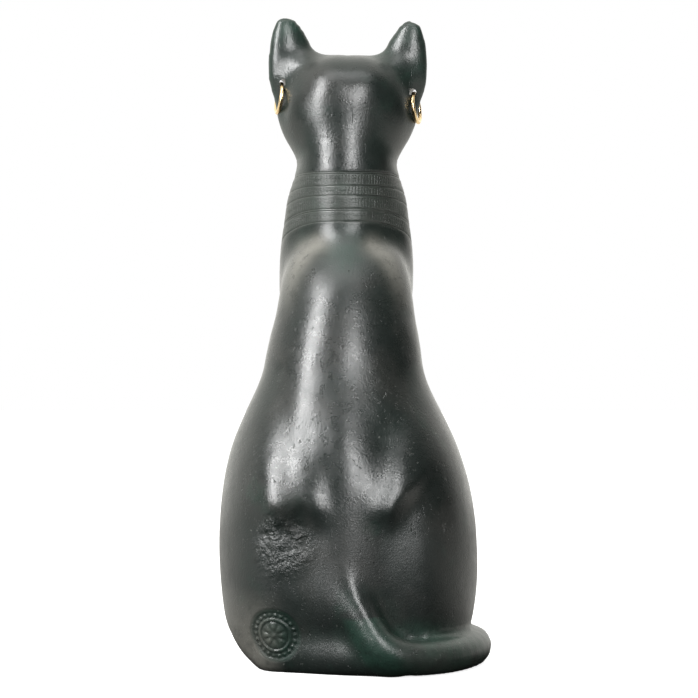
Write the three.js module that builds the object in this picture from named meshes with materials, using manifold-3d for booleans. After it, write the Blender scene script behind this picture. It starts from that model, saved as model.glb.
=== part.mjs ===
// A museum copy of a seated Egyptian cat, cast in one piece in patinated resin, with two gold wire
// hoops through its ears. Millimetres, +Z up. The cat faces -Y, so +X is its left side.
// The origin is on the flat underside, below the middle of the hips.
import * as THREE from 'three';
import { mergeVertices } from 'three/addons/utils/BufferGeometryUtils.js';
import Module from 'manifold-3d';

// Driving dimensions.
const FIGURE_HEIGHT = 330; // from the underside to the tip of the higher ear
const HOOP_DIAMETER = 17; // outside
const HOOP_WIRE = 2.1;
const HOOP_CLEARANCE = 0.35; // between the wire and the ear, all round
const GROOVE_WIDTH = 1.8; // of the lines engraved round the collar
const GROOVE_DEPTH = 0.8;
const SEAL_DIAMETER = 27; // the round stamp low on the left haunch
const SEAL_DEPTH = 1.0;
const HOLE_DIAMETER = 3.7; // through each ear
const CELL = 1.9; // the grid that the form is measured on
const FIGURE_TRIANGLES = 3550; // before the collar and the stamp are cut

// The form is given in hundredths of the figure's height.
const U = FIGURE_HEIGHT / 100;

// Small helpers for the form. A shape is a function of a point that gives the distance to its
// surface, negative inside.
const RADIANS = Math.PI / 180;
const clamp01 = (t) => Math.min(1, Math.max(0, t));
const mix = (a, b, t) => a + (b - a) * t;
const bell = (t) => Math.exp(-t * t);

function blend(a, b, k) {
  const h = Math.max(k - Math.abs(a - b), 0) / k;
  return Math.min(a, b) - (h * h * k) / 4;
}

const carve = (a, b, k) => -blend(-a, b, k);

// An ellipsoid with its top leant forward by `lean` and turned outward by `turn`, in degrees.
function ellipsoid([cx, cy, cz], [rx, ry, rz], lean = 0, turn = 0) {
  const [cl, sl] = [Math.cos(lean * RADIANS), Math.sin(lean * RADIANS)];
  const [ct, st] = [Math.cos(turn * RADIANS), Math.sin(turn * RADIANS)];
  return (x, y, z) => {
    const [dx, dy, dz] = [x - cx, y - cy, z - cz];
    const tx = dx * ct + dy * st;
    const ty = -dx * st + dy * ct;
    const ey = ty * cl + dz * sl;
    const ez = -ty * sl + dz * cl;
    const near = Math.hypot(tx / rx, ey / ry, ez / rz);
    const slope = Math.hypot(tx / (rx * rx), ey / (ry * ry), ez / (rz * rz));
    return slope < 1e-9 ? -Math.min(rx, ry, rz) : (near * (near - 1)) / slope;
  };
}

// A limb: round cones along [x, y, z, radius] stations. `thin` squeezes it front to back
// about its first station.
function limb(stations, thin = 1) {
  const y0 = stations[0][1];
  return (x, y, z) => {
    const sy = y0 + (y - y0) / thin;
    let nearest = Infinity;
    for (let i = 1; i < stations.length; i++) {
      const [ax, ay, az, ar] = stations[i - 1];
      const [bx, by, bz, br] = stations[i];
      const [vx, vy, vz] = [bx - ax, (by - ay) / thin, bz - az];
      const [px, py, pz] = [x - ax, sy - (y0 + (ay - y0) / thin), z - az];
      const t = clamp01((px * vx + py * vy + pz * vz) / (vx * vx + vy * vy + vz * vz));
      const gap = Math.hypot(px - vx * t, py - vy * t, pz - vz * t) - mix(ar, br, t);
      nearest = Math.min(nearest, gap);
    }
    return nearest * Math.min(1, thin);
  };
}

// Stations along a smooth curve through the given ones.
function smoothRun(stations, steps) {
  const line = new THREE.CatmullRomCurve3(stations.map(([x, y, z]) => new THREE.Vector3(x, y, z)));
  return Array.from({ length: steps + 1 }, (_, i) => {
    const along = (i / steps) * (stations.length - 1);
    const from = Math.min(Math.floor(along), stations.length - 2);
    const radius = mix(stations[from][3], stations[from + 1][3], along - from);
    return [...line.getPoint(i / steps).toArray(), radius];
  });
}

// A shape turned about the upright line through [px, py]: its inner side goes forward.
function turned(shape, [px, py], degrees) {
  const [c, s] = [Math.cos(degrees * RADIANS), Math.sin(degrees * RADIANS)];
  return (x, y, z) => {
    const [dx, dy] = [x - px, y - py];
    return shape(px + dx * c + dy * s, py - dx * s + dy * c, z);
  };
}

// The trunk leans a little to the cat's left between hips and neck.
const sway = (z) => 0.35 * clamp01((z - 12) / 20) + 0.55 * bell((z - 42) / 12);

// The head is tipped a little to the cat's right about the top of the neck.
const HEAD_TIP = 0.7 * RADIANS;
const HEAD_PIVOT = 78;

function headPoint(x, z) {
  const [dx, dz] = [x - sway(HEAD_PIVOT), z - HEAD_PIVOT];
  return [
    dx * Math.cos(HEAD_TIP) + dz * Math.sin(HEAD_TIP),
    HEAD_PIVOT + dz * Math.cos(HEAD_TIP) - dx * Math.sin(HEAD_TIP),
  ];
}

// The neck, from the shoulders up into the skull.
const NECK = [
  [0, -3.5, 63, 9],
  [0, -3.7, 70, 9.3],
  [0, -3.8, 75.6, 7.5],
  [0, -4, 80, 7.3],
  [0, -4.2, 85, 7.6],
];

// Body masses, each with the radius of the fillet that joins it. Those at x > 0 are mirrored.
const RUMP = ellipsoid([0, 8.5, 17.5], [14.5, 14.8, 27]);
const TRUNK = [
  [ellipsoid([8.6, 5.6, 17], [11.2, 16.1, 25.8]), 2], // haunch
  [ellipsoid([0, 6.6, 38], [12.6, 10.6, 28.6], 11), 4], // ribs and back
  [ellipsoid([4.7, 1.7, 57.4], [5, 5.8, 8.6], 30), 2.6], // shoulder blade
  [ellipsoid([0, -1.5, 30], [8.2, 9.2, 30]), 3], // belly, between the legs
  [ellipsoid([0, -4.8, 58], [8.7, 8.2, 15]), 1.4], // chest
  [ellipsoid([5.1, -3.7, 59.5], [5.35, 6.4, 14], 4), 1.4], // shoulder
  [limb(smoothRun(NECK, 16), 0.76), 1.6],
];
const NAPE = limb([[0, -2.3, 85.4, 7.2], [0, -0.7, 75, 7.1], [0, -0.3, 68, 6.9], [0, 0.6, 60, 6]], 0.82);

// The nape's fillet: wide where it comes down onto the back, tight at the sides and in the head.
function napeFillet(side, z) {
  return mix(1.6, 2.6, clamp01((6 - side) / 4) * clamp01((76 - z) / 8));
}

// A soft swelling of the surface about a place: `wide` across, and `above` and `below` it.
function swelling(side, z, [across, up], wide, above, below) {
  const rise = z - up;
  return bell((side - across) / wide) * bell(rise / (rise > 0 ? above : below));
}

// The hip bones end in a soft edge over a hollow. On the right it climbs outwards.
function hips(x, side, z) {
  const right = clamp01(0.5 - x / 8);
  const climb = mix(0.15, 1.05, right) * Math.max(side - 6.4, 0);
  const off = side - 7.9;
  const leftBone = bell((off / (off < 0 ? 4.6 : 6)) ** 2);
  const rightBone = bell(off / (off < 0 ? 4.4 : 4.8));
  const edge = 25.2 + climb + 1.3 * (1 - right) * bell((side - 6.7) / 1.5);
  return (
    1.3 * mix(leftBone, rightBone, right) * swelling(0, z, [0, edge], 1, 8.5, 2.6) +
    0.45 * swelling(side, z, [0, 31], 4, 7, 5) +
    0.35 * swelling(side, z, [6.6, 41], 3, 5, 5) -
    mix(0.3, 0.15, right) * swelling(side, z, [8.2, 20.4], 5, 2.2, 6)
  );
}

// The tail grows out of the back as a ridge, steep on its right side and gradual on its left.
function tailRidge(x, z) {
  const off = x - 0.5 + 0.075 * Math.max(17 - z, 0) ** 1.8;
  return 1.6 * bell((z - 8) / 5.5) * bell(off / (off > 0 ? 6.5 : 1.7));
}

// How softly the foot of the body turns under: most at the sides.
function undercut(side, y) {
  const lengthwise = clamp01((y + 11) / 8) * clamp01((17 - y) / 8);
  return 1.8 + 6.8 * lengthwise * clamp01((side - 4) / 5);
}

const FORELEG = [
  [5.2, -6.2, 57, 4.2],
  [5, -8.8, 43, 4.1],
  [4.6, -10.4, 24, 3.2],
  [4.5, -10.9, 9, 2.8],
  [4.6, -12, 2, 2.8],
];
const foreleg = limb(smoothRun(FORELEG, 12));
const KNEE = ellipsoid([12.2, -2.6, 15], [5.4, 8.4, 12.5], -10);
const HIND_FOOT = limb([[12.4, 5, 0.9, 2.8], [12.5, -8, 1.1, 2.5]]);
const LEG_GAP = ellipsoid([0, -17, 20], [0.9, 9.5, 29]);

// A paw: a low pad with four toes at its front.
function paw(px, py) {
  const pad = ellipsoid([px, py, 0.8], [3.3, 4.8, 3.1]);
  const toes = [-2.15, -0.75, 0.75, 2.15].map((across) => {
    const back = 0.35 * Math.abs(across);
    return limb([[px + 0.8 * across, py - 2, 1.9, 1], [px + across, py - 4.6 + back, 0.9, 0.95]]);
  });
  return (x, y, z) => toes.reduce((d, toe) => blend(d, toe(x, y, z), 0.35), pad(x, y, z));
}
const PAWS = [[4.6, -14.4, 1.2], [12.5, -12, 0.9]]; // fore and hind: middle and fillet
const paws = PAWS.map(([px, py, fillet]) => [paw(px, py), fillet]);

// The tail drops to the ground and runs round the right side. Its fillet is widest at the root.
const TAIL = [
  [0.6, 20.4, 15.5, 1],
  [-0.9, 21.8, 11.4, 1.6],
  [-2.9, 23.6, 7.4, 2.2],
  [-5, 24.2, 4.5, 2.5],
  [-8.3, 23.5, 3, 2.6],
  [-12.2, 21, 2.7, 2.65],
  [-15.9, 16.4, 2.6, 2.7],
  [-18.6, 9.8, 2.6, 2.7],
  [-19.2, 2, 2.6, 2.6],
  [-17.7, -6, 2.4, 2.4],
  [-16.7, -12.4, 2.2, 2.2],
  [-15.8, -17, 2, 1.8],
];
const tail = limb(smoothRun(TAIL, 33));
const tailFillet = (x, y) => mix(1.4, 3, clamp01((x + 9) / 6)) + 1.6 * clamp01((4 - y) / 8);
const TAIL_ROOT = limb([
  [10.4, 14.6, 2.2, 2.2],
  [4.6, 18, 2.4, 2.6],
  [-1, 20.8, 2.6, 2.8],
  [-6, 22, 2.2, 2.6],
]);

// Head and face, in the head's own untipped frame.
const SKULL = ellipsoid([0, -4.2, 86.4], [8.4, 7.2, 6.3]);
const HEAD = [
  [ellipsoid([3.2, -4, 87.6], [4.8, 6.4, 5.3]), 2], // crown
  [ellipsoid([5.2, -5.2, 83.8], [4.9, 6.6, 5.4]), 2.4], // cheek
  [limb([[0, -8, 85.4, 5.5], [0, -12.2, 83.4, 3.4]]), 2.4], // face
  [limb([[0, -10.4, 88.8, 1.9], [0, -14.8, 85, 1.2]]), 1.6], // bridge of the nose
  [ellipsoid([1.4, -13.8, 83.1], [2.1, 2.3, 1.7]), 0.8], // whisker pad
  [ellipsoid([0, -12.6, 81], [2, 2.4, 1.4]), 1.1], // chin
];
const EYE_SOCKET = ellipsoid([4.5, -12.2, 87.3], [2.9, 1.5, 1.6], 0, 30);
const EYE = ellipsoid([4.1, -10.4, 87.3], [2.4, 1.7, 1.15], 0, 30);
const EYE_SLANT = 0.16; // rise of the outer corner
const EAR = [
  [7.2, -4.4, 86.2, 3.6],
  [8.3, -4.4, 90, 4.05],
  [8.75, -4.4, 92.8, 3.75],
  [9.2, -4.4, 95.3, 3.1],
  [9.6, -4.4, 97.4, 2.2],
  [9.8, -4.4, 98.2, 1.7],
];
const EAR_TURN = [[8.6, -4.4], 10];
const ear = turned(limb(smoothRun(EAR, 18), 0.5), ...EAR_TURN);
const RIGHT_EAR_DROP = 0.45; // the cat's right ear stands lower than the left
const EAR_HOLLOW = turned(ellipsoid([8.7, -7.9, 92], [2.9, 2.7, 6.4], -3), ...EAR_TURN);
const EAR_ROOT = limb([[5.6, -3.3, 86.6, 3], [7.4, -3.8, 91.6, 2]]);
const EAR_BACK = ellipsoid([12, -0.4, 86.8], [2.7, 2.6, 3.9]); // room behind it for the hoop

function head(x, y, z) {
  const side = Math.abs(x);
  let d = SKULL(side, y, z);
  for (const [mass, fillet] of HEAD) d = blend(d, mass(side, y, z), fillet);
  const eyeZ = z - EYE_SLANT * (side - 4);
  d = carve(d, EYE_SOCKET(side, y, eyeZ), 0.9);
  d = blend(d, EYE(side, y, eyeZ), 0.25);
  const earZ = x < 0 ? z + RIGHT_EAR_DROP * clamp01((z - 89) / 8) : z;
  d = blend(d, EAR_ROOT(side, y, earZ), 2.6);
  d = blend(d, ear(side, y, earZ), 2);
  d = carve(d, EAR_BACK(side, y, earZ), 1.2);
  return carve(d, EAR_HOLLOW(side, y, earZ), 0.8);
}

// The whole figure. Points are in hundredths of its height.
function figure(x, y, z) {
  const side = Math.abs(x - sway(z));
  let d = RUMP(side, y, z);
  for (const [mass, fillet] of TRUNK) d = blend(d, mass(side, y, z), fillet);
  d = blend(d, NAPE(side, y, z), napeFillet(side, z));
  const behind = clamp01((y - 4) / 11);
  d -= (hips(x, side, z) + tailRidge(x, z)) * behind ** 2 * (3 - 2 * behind);
  d = blend(d, KNEE(side, y, z), 3);
  d = carve(d, z + 0.8, undercut(side, y));
  d = blend(d, foreleg(side, y, z), 2.2);
  d = blend(d, HIND_FOOT(side, y, z), 1.2);
  for (const [mass, fillet] of paws) d = blend(d, mass(side, y, z), fillet);
  d = carve(d, LEG_GAP(side, y, z), 1.2);
  if (z < 24) {
    d = blend(d, TAIL_ROOT(x, y, z), 3);
    d = blend(d, tail(x, y, z), tailFillet(x, y));
  }
  if (z > 68) {
    const [hx, hz] = headPoint(x, z);
    d = blend(d, head(hx, y, hz), 3);
  }
  return d;
}

// The bounds of the form, in hundredths of the height, and the grid that it is measured on.
const LOW = [-24.25, -25, -3];
const HIGH = [22, 29, 102];
const CLEAR_SPAN = 7.6 / U; // side of a block that is skipped when it lies clear of the surface

// Surface nets: one point in each grid cell that the surface crosses, and two triangles round each
// grid edge that it crosses.
function netOf(shape, cell, low, high) {
  const block = Math.max(1, Math.round(CLEAR_SPAN / cell)); // in cells
  const count = low.map((from, i) => Math.ceil((high[i] - from) / cell / block) * block + 1);
  const at = (i, j, k) => i + count[0] * (j + count[1] * k);
  const place = (i, j, k) => [low[0] + i * cell, low[1] + j * cell, low[2] + k * cell];
  const values = new Float64Array(count[0] * count[1] * count[2]);
  const reach = 1.5 * block * cell;
  for (let bk = 0; bk < count[2]; bk += block)
    for (let bj = 0; bj < count[1]; bj += block)
      for (let bi = 0; bi < count[0]; bi += block) {
        const middle = shape(...place(bi + block / 2, bj + block / 2, bk + block / 2));
        for (let k = bk; k < Math.min(bk + block, count[2]); k++)
          for (let j = bj; j < Math.min(bj + block, count[1]); j++)
            for (let i = bi; i < Math.min(bi + block, count[0]); i++)
              values[at(i, j, k)] = Math.abs(middle) > reach ? middle : shape(...place(i, j, k));
      }
  const points = [];
  const pointOf = new Int32Array(values.length).fill(-1);
  const corners = [0, 1, 2, 3, 4, 5, 6, 7].map((n) => [n & 1, (n >> 1) & 1, n >> 2]);
  const edges = corners.flatMap((a, n) => [1, 2, 4].filter((b) => !(n & b)).map((b) => [n, n | b]));
  for (let k = 0; k < count[2] - 1; k++)
    for (let j = 0; j < count[1] - 1; j++)
      for (let i = 0; i < count[0] - 1; i++) {
        const sum = [0, 0, 0];
        let crossings = 0;
        for (const [m, n] of edges) {
          const [a, b] = [corners[m], corners[n]];
          const va = values[at(i + a[0], j + a[1], k + a[2])];
          const vb = values[at(i + b[0], j + b[1], k + b[2])];
          if (va < 0 === vb < 0) continue;
          const t = va / (va - vb);
          for (let c = 0; c < 3; c++) sum[c] += mix(a[c], b[c], t);
          crossings++;
        }
        if (!crossings) continue;
        pointOf[at(i, j, k)] = points.length;
        points.push([i, j, k].map((g, c) => low[c] + (g + sum[c] / crossings) * cell));
      }
  const triangles = [];
  for (let k = 1; k < count[2] - 1; k++)
    for (let j = 1; j < count[1] - 1; j++)
      for (let i = 1; i < count[0] - 1; i++) {
        const inside = values[at(i, j, k)] < 0;
        for (let axis = 0; axis < 3; axis++) {
          const [s, t] = [(axis + 1) % 3, (axis + 2) % 3];
          const step = [0, 0, 0];
          step[axis] = 1;
          if (inside === values[at(i + step[0], j + step[1], k + step[2])] < 0) continue;
          const ring = [[0, 0], [1, 0], [1, 1], [0, 1]].map(([across, up]) => {
            const cellAt = [i, j, k];
            cellAt[s] -= across;
            cellAt[t] -= up;
            return pointOf[at(...cellAt)];
          });
          if (!inside) ring.reverse();
          triangles.push([ring[0], ring[1], ring[2]], [ring[0], ring[2], ring[3]]);
        }
      }
  return { points, triangles };
}

// How closely the mesh follows the form: finest over the face and ears, then the paws.
function care([, y, z]) {
  const face = bell((z - 87) / 8) * clamp01(-y / 8);
  const paw = bell(z / 6) * clamp01(-y / 12);
  return 1 + 14 * face + 3 * paw;
}

// A mesh with fewer triangles: the edge whose loss moves the surface least goes first.
function simplified(net, target) {
  const points = net.points.map((p) => [...p]);
  const faces = net.triangles.map((t) => [...t]);
  const facesAt = points.map(() => new Set());
  const quadrics = points.map(() => new Float64Array(10));
  const minus = (a, b) => [a[0] - b[0], a[1] - b[1], a[2] - b[2]];
  const dot = (a, b) => a[0] * b[0] + a[1] * b[1] + a[2] * b[2];
  const turn = [[1, 2], [2, 0], [0, 1]];
  const cross = (a, b) => turn.map(([i, j]) => a[i] * b[j] - a[j] * b[i]);
  const normal = (a, b, c) => cross(minus(b, a), minus(c, a));
  faces.forEach((face, f) => {
    const n = normal(...face.map((v) => points[v]));
    const area = Math.hypot(...n) || 1e-12;
    const unit = n.map((v) => v / area);
    const plane = [...unit, -dot(unit, points[face[0]])];
    const weight = area * care(points[face[0]]);
    for (const v of face) {
      facesAt[v].add(f);
      let slot = 0;
      for (let i = 0; i < 4; i++)
        for (let j = i; j < 4; j++) quadrics[v][slot++] += plane[i] * plane[j] * weight;
    }
  });
  const error = (q, [x, y, z]) =>
    q[0] * x * x + 2 * q[1] * x * y + 2 * q[2] * x * z + 2 * q[3] * x + q[4] * y * y +
    2 * q[5] * y * z + 2 * q[6] * y + q[7] * z * z + 2 * q[8] * z + q[9];

  // The best place for the merged point: the least error, held a little towards the middle.
  function place(q, a, b) {
    const middle = a.map((v, i) => (v + b[i]) / 2);
    const hold = 1e-3 * (q[0] + q[4] + q[7]);
    const rows = [
      [q[0] + hold, q[1], q[2]],
      [q[1], q[4] + hold, q[5]],
      [q[2], q[5], q[7] + hold],
    ];
    const right = [hold * middle[0] - q[3], hold * middle[1] - q[6], hold * middle[2] - q[8]];
    const det = dot(rows[0], cross(rows[1], rows[2]));
    const columns = turn.map(([i, j]) => cross(rows[i], rows[j]));
    return turn.map((_, i) => dot(right, columns.map((column) => column[i])) / det);
  }

  const heap = [];
  const stamp = new Int32Array(points.length);
  function push(a, b) {
    const q = quadrics[a].map((v, i) => v + quadrics[b][i]);
    const at = place(q, points[a], points[b]);
    const span = minus(points[a], points[b]);
    const item = { cost: error(q, at) + 2e-5 * dot(span, span), a, b, at, stamps: [stamp[a], stamp[b]] };
    let i = heap.push(item) - 1;
    while (i > 0) {
      const parent = (i - 1) >> 1;
      if (heap[parent].cost <= item.cost) break;
      heap[i] = heap[parent];
      i = parent;
    }
    heap[i] = item;
  }
  function pop() {
    const top = heap[0];
    const last = heap.pop();
    if (!heap.length) return top;
    let i = 0;
    for (;;) {
      let child = 2 * i + 1;
      if (child >= heap.length) break;
      if (child + 1 < heap.length && heap[child + 1].cost < heap[child].cost) child++;
      if (heap[child].cost >= last.cost) break;
      heap[i] = heap[child];
      i = child;
    }
    heap[i] = last;
    return top;
  }
  const neighbours = (v) => new Set([...facesAt[v]].flatMap((f) => faces[f]).filter((n) => n !== v));

  // Whether every face that stays keeps its facing when one of its points moves.
  const keepsFacing = (from, other, at) =>
    [...facesAt[from]].every((f) => {
      const face = faces[f];
      if (face.includes(other)) return true;
      const before = normal(...face.map((v) => points[v]));
      const after = normal(...face.map((v) => (v === from ? at : points[v])));
      return dot(before, after) > 0.35 * Math.hypot(...before) * Math.hypot(...after);
    });

  faces.forEach(([a, b, c]) => [[a, b], [b, c], [c, a]].forEach(([m, n]) => m < n && push(m, n)));
  let left = faces.length;
  while (left > target && heap.length) {
    const { a, b, at, stamps } = pop();
    if (stamps[0] !== stamp[a] || stamps[1] !== stamp[b]) continue;
    const [aroundA, aroundB] = [neighbours(a), neighbours(b)];
    if ([...aroundA].filter((v) => aroundB.has(v)).length !== 2) continue;
    if (!keepsFacing(a, b, at) || !keepsFacing(b, a, at)) continue;
    points[a] = at;
    quadrics[a] = quadrics[a].map((v, i) => v + quadrics[b][i]);
    for (const f of facesAt[b]) {
      if (faces[f].includes(a)) {
        faces[f].forEach((v) => v !== b && facesAt[v].delete(f));
        faces[f] = null;
        left--;
      } else {
        faces[f] = faces[f].map((v) => (v === b ? a : v));
        facesAt[a].add(f);
      }
    }
    facesAt[b].clear();
    stamp[a]++;
    stamp[b]++;
    for (const v of neighbours(a)) push(a, v);
  }
  return { points, triangles: faces.filter(Boolean) };
}

// Solids.
const wasm = await Module();
wasm.setup();

function solidOf(geometry) {
  const bare = new THREE.BufferGeometry().setAttribute('position', geometry.getAttribute('position'));
  const closed = mergeVertices(bare.setIndex(geometry.getIndex()), 1e-4); // one vertex per place
  return new wasm.Manifold(
    new wasm.Mesh({
      numProp: 3,
      vertProperties: closed.getAttribute('position').array,
      triVerts: new Uint32Array(closed.getIndex().array),
    }),
  );
}

function geometryOf(solid) {
  const mesh = solid.getMesh();
  const geometry = new THREE.BufferGeometry();
  geometry.setAttribute('position', new THREE.BufferAttribute(mesh.vertProperties, 3));
  geometry.setIndex(new THREE.BufferAttribute(mesh.triVerts, 1));
  geometry.computeVertexNormals();
  return geometry;
}

function netGeometry({ points, triangles }, scale) {
  const geometry = new THREE.BufferGeometry();
  const position = Float32Array.from(points.flat(), (v) => v * scale);
  geometry.setAttribute('position', new THREE.BufferAttribute(position, 3));
  geometry.setIndex(triangles.flat());
  return geometry;
}

const net = simplified(netOf(figure, CELL / U, LOW, HIGH), FIGURE_TRIANGLES);
let cat = solidOf(netGeometry(net, U)).trimByPlane([0, 0, 1], 0);

// The point, in millimetres, where a ray from inside the figure leaves it.
function surfaceAlong(from, along) {
  const point = (t) => from.map((v, i) => v + along[i] * t);
  let outer = 0.5;
  while (figure(...point(outer)) < 0) outer += 0.5;
  let inner = outer - 0.5;
  for (let i = 0; i < 18; i++) {
    const half = (inner + outer) / 2;
    if (figure(...point(half)) < 0) inner = half;
    else outer = half;
  }
  return new THREE.Vector3(...point(outer)).multiplyScalar(U);
}

// The way out of the figure at a point, in millimetres, on its surface.
function outwardAt(point) {
  const at = point.clone().divideScalar(U).toArray();
  const slope = [0, 1, 2].map((axis) => {
    const [ahead, behind] = [[...at], [...at]];
    ahead[axis] += 0.3;
    behind[axis] -= 0.3;
    return figure(...ahead) - figure(...behind);
  });
  return new THREE.Vector3(...slope).normalize();
}

// A solid skin over rows of points that close on themselves; each row has the same count.
function skin(rows) {
  const count = rows[0].length;
  const position = Float32Array.from(rows.flat().flatMap((v) => v.toArray()));
  const index = [];
  for (let r = 0; r < rows.length - 1; r++)
    for (let i = 0; i < count; i++) {
      const [a, b] = [r * count + i, r * count + ((i + 1) % count)];
      index.push(a, b, b + count, a, b + count, a + count);
    }
  const geometry = new THREE.BufferGeometry();
  geometry.setAttribute('position', new THREE.BufferAttribute(position, 3));
  return geometry.setIndex(index);
}

// Cuts a V groove along a closed line of points on the surface.
function engrave(line, width, depth) {
  const proud = 1.4; // the bit stands this far clear of the surface
  const sides = [[-1, proud], [0, -depth], [1, proud], [-1, proud]];
  const spread = (width / 2) * (1 + proud / depth);
  const outward = line.map(outwardAt);
  const rows = sides.map(([across, out]) =>
    line.map((point, i) => {
      const forward = line[(i + 1) % line.length].clone().sub(line.at(i - 1));
      const side = forward.cross(outward[i]).normalize();
      return point.clone().addScaledVector(side, across * spread).addScaledVector(outward[i], out);
    }),
  );
  cat = cat.subtract(solidOf(skin(rows)));
}

const ringOf = (steps) => Array.from({ length: steps }, (_, i) => (2 * Math.PI * i) / steps);

// The engraved lines of the collar: level round the nape, falling over the shoulders to the chest.
const COLLAR_LINES = [[75.2, 73], [73.2, 69.5], [71.7, 66.5], [69.5, 61.5], [67.7, 57]];
for (const [back, front] of COLLAR_LINES) {
  const line = ringOf(26).map((turn) => {
    const z = mix(back, front, ((1 - Math.cos(turn)) / 2) ** 1.8);
    return surfaceAlong([sway(z), -3.5, z], [Math.sin(turn), Math.cos(turn), 0]);
  });
  engrave(line, GROOVE_WIDTH, GROOVE_DEPTH);
}

// The clefts between the toes.
for (const [px, py] of PAWS)
  for (const side of [1, -1])
    for (const across of [-1.45, 0, 1.45]) {
      const cleft = new THREE.OctahedronGeometry(1, 1).scale(0.45, 1.95, 1.75);
      cleft.translate(side * (px + across), py - 4.6 + 0.3 * Math.abs(across), 1.7).scale(U, U, U);
      cat = cat.subtract(solidOf(cleft));
    }

// The rims of the eyes.
const EYE_RIM = { middle: [4.3, -11, 87.3], half: [2.7, 1.35], width: 1.3, depth: 0.6 };
for (const side of [1, -1]) {
  const line = ringOf(18).map((turn) => {
    const [across, lift] = [EYE_RIM.half[0] * Math.cos(turn), Math.sin(turn)];
    const height = EYE_RIM.half[1] * lift * Math.abs(lift) ** 0.3 + EYE_SLANT * across;
    const [x, y, z] = EYE_RIM.middle;
    const from = [side * (x + across - 2) + 0.25, y + 4 + 0.35 * across, z + height];
    return surfaceAlong(from, [side * 0.45, -0.89, 0]);
  });
  engrave(side > 0 ? line : line.reverse(), EYE_RIM.width, EYE_RIM.depth);
}

// The stamp: a sunk disc that follows the haunch, with a raised ring, beads and a rosette.
// Each row is [share of the radius, share of the depth on the ornament, and between].
const SEAL_ROWS = [
  [0.1, 0.4, 0.4],
  [0.17, 1, 1],
  [0.25, 0.4, 1],
  [0.4, 0.4, 1],
  [0.46, 1, 1],
  [0.5, 0.3, 0.3],
  [0.56, 0.3, 0.3],
  [0.6, 1, 1],
  [0.67, 0.45, 1],
  [0.82, 0.45, 1],
  [0.88, 1, 1],
  [0.95, 1, 1],
];
const SEAL_BEADS = 14;
const sealMiddle = surfaceAlong([4, 8, 5.7], [0.53, 0.85, 0]);
const sealOut = outwardAt(sealMiddle);
const sealUp = new THREE.Vector3(0, 0, 1).addScaledVector(sealOut, -sealOut.z).normalize();
const sealSide = sealUp.clone().cross(sealOut);
function sealPoint(radius, turn, depth) {
  const start = sealMiddle
    .clone()
    .addScaledVector(sealSide, radius * Math.cos(turn))
    .addScaledVector(sealUp, radius * Math.sin(turn))
    .addScaledVector(sealOut, -12)
    .divideScalar(U);
  return surfaceAlong(start.toArray(), sealOut.toArray()).addScaledVector(sealOut, -depth);
}
const sealTurns = ringOf(2 * SEAL_BEADS);
const sealRadius = SEAL_DIAMETER / 2;
const sealRows = SEAL_ROWS.map(([share, onto, between]) =>
  sealTurns.map((turn, i) => sealPoint(share * sealRadius, turn, (i % 2 ? between : onto) * SEAL_DEPTH)),
);
const floor = sealPoint(0, 0, 0.2 * SEAL_DEPTH);
const lid = sealMiddle.clone().addScaledVector(sealOut, 6);
sealRows.unshift(sealTurns.map(() => floor));
sealRows.push(sealTurns.map((turn) => sealPoint(sealRadius, turn, -1)), sealTurns.map(() => lid));
cat = cat.subtract(solidOf(skin(sealRows)));

// The hoops hang through the outer edge of each ear, their lower half turned outward.
const HOOPS = [
  { name: 'left_earring', side: 1, hole: [10.6, -4.1, 89.4] },
  { name: 'right_earring', side: -1, hole: [-10.2, -4.1, 87.9] },
];
const HOOP_YAW = 12 * RADIANS;
const HOOP_LEAN = 8 * RADIANS;
const hoops = HOOPS.map(({ name, side, hole }) => {
  const ahead = new THREE.Vector3(side * Math.sin(HOOP_YAW), -Math.cos(HOOP_YAW), 0);
  const across = new THREE.Vector3(side * Math.cos(HOOP_YAW), Math.sin(HOOP_YAW), 0);
  const up = new THREE.Vector3(0, 0, Math.cos(HOOP_LEAN)).addScaledVector(across, -Math.sin(HOOP_LEAN));
  const top = new THREE.Vector3(...hole).multiplyScalar(U);
  const radius = (HOOP_DIAMETER - HOOP_WIRE) / 2;
  const place = new THREE.Matrix4()
    .makeBasis(ahead, up, ahead.clone().cross(up))
    .setPosition(top.clone().addScaledVector(up, -radius));
  const bore = new THREE.CylinderGeometry(HOLE_DIAMETER / 2, HOLE_DIAMETER / 2, 15, 10);
  bore.rotateZ(Math.PI / 2).translate(0, radius + 0.5, 0).applyMatrix4(place);
  const ring = (wire) => solidOf(new THREE.TorusGeometry(radius, wire / 2, 7, 22).applyMatrix4(place));
  cat = cat.subtract(solidOf(bore)).subtract(ring(HOOP_WIRE + 2 * HOOP_CLEARANCE));
  return [name, ring(HOOP_WIRE)];
});

const resin = new THREE.MeshStandardMaterial({ name: 'patina_resin', color: 0x2b332f, roughness: 0.45 });
const gold = new THREE.MeshStandardMaterial({ name: 'gold_wire', color: 0xc9a04e, roughness: 0.25 });
gold.metalness = 1;

const group = new THREE.Group();
function addMesh(name, solid, material) {
  const mesh = new THREE.Mesh(geometryOf(solid), material);
  mesh.name = name;
  group.add(mesh);
}
addMesh('cat_figure', cat, resin);
for (const [name, hoop] of hoops) addMesh(name, hoop, gold);
export default group;
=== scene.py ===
# A museum copy of a seated Egyptian cat: one casting in patinated resin, with a gold wire hoop
# through each ear. Metres, +Z up. The cat faces -Y, and the camera looks at its back from +Y.
import math

import bpy
import numpy as np
from mathutils import Matrix, Vector, noise


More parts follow.
